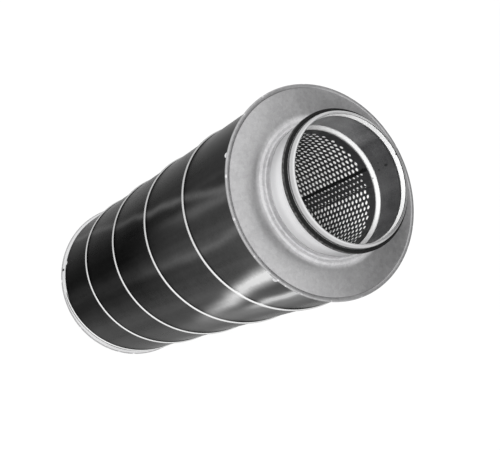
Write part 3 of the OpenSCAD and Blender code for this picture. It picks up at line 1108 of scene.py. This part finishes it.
@dataclass
class Liner:
    """The perforated airway tube, with every hole of the pattern and its lapped joint."""

    sheet: float = 0.6
    hole_r: float = 2.5
    pitch: float = 7.86
    row_angle: float = 5.2707
    first_angle: float = 26.6
    row_count: int = 68
    lap_rows: int = 3
    edge: float = 6.0
    low: float = 58.3
    high: float = 648.7
    even_start: float = 21.5
    odd_start: float = 17.57
    sides: int = 12

    def half_row(self) -> float:
        """Half the width of a row, measured round the outer layer."""
        return math.radians(self.row_angle / 2) * Layer.OUTER.value

    def cell(self) -> tuple[np.ndarray, np.ndarray]:
        """One hole in its share of the sheet: a ring from a rectangle to the hole, and the hole's wall.

        The rectangle's points lie in the same directions as the hole's, so that ring and wall
        are two rows of faces between three closed rows of points.

        Returns:
            Points (across, along, depth) and faces.
        """
        t = np.radians((np.arange(self.sides) + 0.5) * 360 / self.sides)
        way = np.column_stack([np.cos(t), np.sin(t)])
        half = np.array([self.half_row(), self.pitch / 2])
        square = way / np.max(np.abs(way), axis=1, keepdims=True)
        hole = way * self.hole_r
        flat = np.zeros((self.sides, 1))
        points = np.vstack([np.hstack([square * half, flat]), np.hstack([hole, flat]),
                            np.hstack([hole, flat + self.sheet])])
        return points, grid_faces(3, self.sides, False, True)

    def mapped(self, across: np.ndarray, along: np.ndarray, depth: np.ndarray, angle: np.ndarray,
               radius: np.ndarray) -> np.ndarray:
        """Rolls flat points onto the tube: angle = row's angle + across / radius, r = radius + depth.

        Args:
            across: Distance round the tube from the row's middle.
            along: Height.
            depth: Distance behind the inner face.
            angle: The row's angle in degrees.
            radius: The row's radius.

        Returns:
            Array of points.
        """
        t = np.radians(angle) + across / Layer.OUTER.value
        r = radius + depth
        return np.stack([r * np.cos(t), r * np.sin(t), along], axis=-1)

    def holes(self, rows: np.ndarray) -> Surface:
        """All holes of some rows, and the plain sheet at the rows' ends.

        Args:
            rows: Numbers of the rows.

        Returns:
            The rows' surface.
        """
        points, faces = self.cell()
        top = End.FRONT.value[0]
        odd = np.abs(rows) % 2 == 1
        start = top - np.where(odd, self.odd_start, self.even_start)
        count = np.floor((start - End.REAR.value[0] - self.odd_start) / self.pitch).astype(int) + 1
        row = np.repeat(np.arange(len(rows)), count)
        step = np.arange(len(row)) - np.repeat(np.cumsum(count) - count, count)
        middle = start[row] - step * self.pitch
        angle = self.first_angle + rows * self.row_angle
        radius = np.where(rows >= self.row_count - self.lap_rows, Layer.INNER.value, Layer.OUTER.value)
        spot = self.mapped(points[None, :, 0], middle[:, None] + points[None, :, 1], points[None, :, 2],
                           angle[row][:, None], radius[row][:, None])
        number = np.arange(len(row))[:, None, None] * len(points)
        field_of_holes = Surface(spot.reshape(-1, 3), (faces[None] + number).reshape(-1, 4))
        upper = np.stack([start + self.pitch / 2, np.full(len(rows), self.high)], axis=1)
        lower = np.stack([np.full(len(rows), self.low), start - (count - 0.5) * self.pitch], axis=1)
        return field_of_holes + self.strips(upper, angle, radius) + self.strips(lower, angle, radius)

    def strips(self, levels: np.ndarray, angle: np.ndarray, radius: np.ndarray) -> Surface:
        """Plain rectangles of sheet, one for each row, between two levels.

        Args:
            levels: Lower and upper level for each row.
            angle: Each row's angle.
            radius: Each row's radius.

        Returns:
            The strips.
        """
        across = np.array([[-1.0, -1.0, 1.0, 1.0]]) * self.half_row()
        along = levels[:, [0, 1, 1, 0]]
        corners = self.mapped(across, along, np.zeros((1, 4)), angle[:, None], radius[:, None])
        return Surface(corners.reshape(-1, 3), np.arange(len(levels) * 4).reshape(-1, 4))

    def lap(self) -> Surface:
        """The lap's plain edge and the step between the layers, as bands over the tube's height.

        A band joins neighbouring points of a short path (angle, radius).

        Returns:
            The bands.
        """
        inner, outer = Layer.INNER.value, Layer.OUTER.value
        last = self.first_angle + (self.row_count - 0.5) * self.row_angle
        edge = last + math.degrees(self.edge / inner) - self.row_angle / 2
        step = self.first_angle + (self.row_count - self.lap_rows - 0.5) * self.row_angle
        paths = [np.array([[last, inner], [edge, inner], [edge, inner + self.sheet]]),
                 np.array([[step, outer], [step, inner]])]
        made = []
        for path in paths:
            t = np.radians(path[:, 0])
            ring = np.column_stack([path[:, 1] * np.cos(t), path[:, 1] * np.sin(t)])
            ends = [np.column_stack([ring, np.full(len(ring), level)]) for level in (self.low, self.high)]
            made.append(Surface(np.vstack(ends), grid_faces(2, len(ring), False, False)))
        return made[0] + made[1]

    def build(self, material: bpy.types.Material) -> list[bpy.types.Object]:
        """Builds the tube in two pieces, each with half of the rows.

        Args:
            material: Its finish.

        Returns:
            Both pieces.
        """
        middle = self.row_count // 2
        first = self.holes(np.arange(-self.lap_rows, middle))
        second = self.holes(np.arange(middle, self.row_count)) + self.lap()
        return [settle(dress(rows.to_object(name), "liner_steel", material), "perforated_liner")
                for name, rows in (("liner_rows_first", first), ("liner_rows_second", second))]


@dataclass
class PlainNodes:
    """The CAD nodes that show as they are: rivets, fleece and wool."""

    finishes: tuple[tuple[str, str, SteelFinish | SoftFinish], ...] = (
        ("front_rivets", "rivet_metal", RIVET_METAL), ("rear_rivets", "rivet_metal", RIVET_METAL),
        ("acoustic_fleece", "fleece", FLEECE), ("mineral_wool", "wool", WOOL))

    def build(self) -> None:
        """Dresses each node; nodes of one finish share its material."""
        made: dict[str, bpy.types.Material] = {}
        for node, slot, finish in self.finishes:
            if finish.name not in made:
                made[finish.name] = finish.material()
            dress(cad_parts[node], slot, made[finish.name])
            log.info("%s: CAD node in %s", node, finish.name)


@dataclass(frozen=True)
class Lamp:
    """A square soft lamp for the matt surfaces; metal shows the world and the floor."""

    name: str
    at: Triple
    aim: Triple
    size: float
    power: float

    def build(self) -> None:
        """Hangs the lamp at its place, facing its aim, unseen in reflections."""
        light = bpy.data.lights.new(self.name, "AREA")
        light.size = self.size
        light.energy = self.power
        lamp = bpy.data.objects.new(self.name, light)
        lamp.location = self.at
        lamp.rotation_euler = (Vector(self.at) - Vector(self.aim)).to_track_quat("Z", "Y").to_euler()
        lamp.visible_glossy = False
        bpy.context.scene.collection.objects.link(lamp)


@dataclass
class Studio:
    """Floor, world, lamps and camera."""

    camera_at: Triple = (-0.5630, -0.2208, 1.4310)
    camera_right: Triple = (0.86771, -0.11184, 0.48433)
    camera_up: Triple = (0.0, 0.97436, 0.22499)
    camera_back: Triple = (-0.49708, -0.19523, 0.84546)
    lens: float = 61.2
    floor_half: float = 8.0
    background: float = 0.86
    floor_tone: float = 0.85
    slant: Triple = (-5.2, -1.1, 3.74)
    sky_limits: tuple[float, float] = (0.12, 1.5)
    horizon: tuple[float, float] = (0.4, 0.6)
    unseen_share: float = 0.5
    lamps: tuple[Lamp, ...] = (Lamp("key", (-1.6, 1.2, 2.4), (0, 0, 0.5), 1.2, 48.0),
                               Lamp("fill", (1.4, -1.8, 1.8), (0, 0, 0.4), 1.6, 24.0),
                               Lamp("airway", (-0.75, -0.35, 2.0), (0, 0, 0.55), 0.5, 38.0))

    def seen_directly(self, write: Shader) -> Socket:
        """1 for camera, glossy and transmission rays, which see the white background."""
        path = write.node("ShaderNodeLightPath").outputs
        return write.math("MAXIMUM", write.math("MAXIMUM", path["Is Camera Ray"], path["Is Glossy Ray"]),
                          path["Is Transmission Ray"])

    def floor(self) -> None:
        """A pale floor: a matt sheet that shows as white and keeps the object's shadow."""
        h = self.floor_half
        mesh = bpy.data.meshes.new("floor")
        mesh.from_pydata([(-h, -h, 0), (h, -h, 0), (h, h, 0), (-h, h, 0)], [], [(0, 1, 2, 3)])
        piece = bpy.data.objects.new("floor", mesh)
        bpy.context.scene.collection.objects.link(piece)
        made, write, shader, _ = new_material("floor")
        tree = made.node_tree
        tree.nodes.remove(shader)
        matt = write.node("ShaderNodeBsdfDiffuse")
        matt.inputs["Color"].default_value = (self.floor_tone, self.floor_tone, self.floor_tone, 1)
        white = write.node("ShaderNodeEmission")
        mix = write.node("ShaderNodeMixShader")
        write.link(write.math("MULTIPLY", self.seen_directly(write), self.background), mix.inputs[0])
        write.link(matt.outputs[0], mix.inputs[1])
        write.link(white.outputs[0], mix.inputs[2])
        write.link(mix.outputs[0], tree.nodes["Material Output"].inputs["Surface"])
        mesh.materials.append(made)

    def world(self) -> None:
        """Soft light from all round: a white horizon, and above it a sky that darkens evenly to one side.

        The sky's tone is a x + b y + c for the slant (a, b, c), held between its limits. Rays that
        aren't seen directly get a share of it.
        """
        world = bpy.data.worlds.new("studio")
        bpy.context.scene.world = world
        world.use_nodes = True
        write = Shader(world.node_tree)
        sky = world.node_tree.nodes["Background"]
        sky.inputs["Color"].default_value = (1, 1, 1, 1)
        split = write.node("ShaderNodeSeparateXYZ")
        write.link(write.node("ShaderNodeTexCoord").outputs["Generated"], split.inputs[0])
        x, y, z = split.outputs
        slant = write.math("ADD", write.math("MULTIPLY", x, self.slant[0]),
                           write.math("MULTIPLY", y, self.slant[1]))
        least, most = self.sky_limits
        above = write.math("MAXIMUM", write.math("ADD", slant, self.slant[2]), least)
        above = write.math("MINIMUM", above, most)
        high = write.ramp(z, *self.horizon)
        tone = write.math("ADD", write.math("MULTIPLY", above, high), write.math("SUBTRACT", 1.0, high))
        level = write.math("ADD", write.math("MULTIPLY", self.seen_directly(write), 1.0 - self.unseen_share),
                           self.unseen_share)
        write.link(write.math("MULTIPLY", tone, level), sky.inputs["Strength"])

    def camera(self) -> None:
        """The camera at the photograph's place, with its roll."""
        data = bpy.data.cameras.new("camera")
        data.lens = self.lens
        data.sensor_fit = "HORIZONTAL"
        data.sensor_width = 36.0
        data.clip_end = 50.0
        camera = bpy.data.objects.new("camera", data)
        turn = Matrix((self.camera_right, self.camera_up, self.camera_back)).transposed()
        camera.matrix_world = Matrix.Translation(self.camera_at) @ turn.to_4x4()
        bpy.context.scene.collection.objects.link(camera)
        bpy.context.scene.camera = camera

    def build(self) -> None:
        """Builds the whole studio."""
        bpy.context.scene.view_settings.view_transform = "Standard"
        self.floor()
        self.world()
        for lamp in self.lamps:
            lamp.build()
        self.camera()


def main() -> None:
    """Builds the object's pieces in order, then the studio."""
    logging.basicConfig(level=logging.INFO, format="%(name)s: %(message)s")
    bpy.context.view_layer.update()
    Casing().build()
    cap = CAP_STEEL.material()
    steels = [finish.material() for finish in SPIGOT_FINISHES]
    rubbers = [finish.material() for finish in GASKET_FINISHES]
    for end in End:
        EndCap(end).build(cap)
        Spigot(end).build(steels, rubbers)
    Liner().build(LINER_STEEL.material())
    PlainNodes().build()
    Studio().build()


if __name__ == "__main__":
    main()
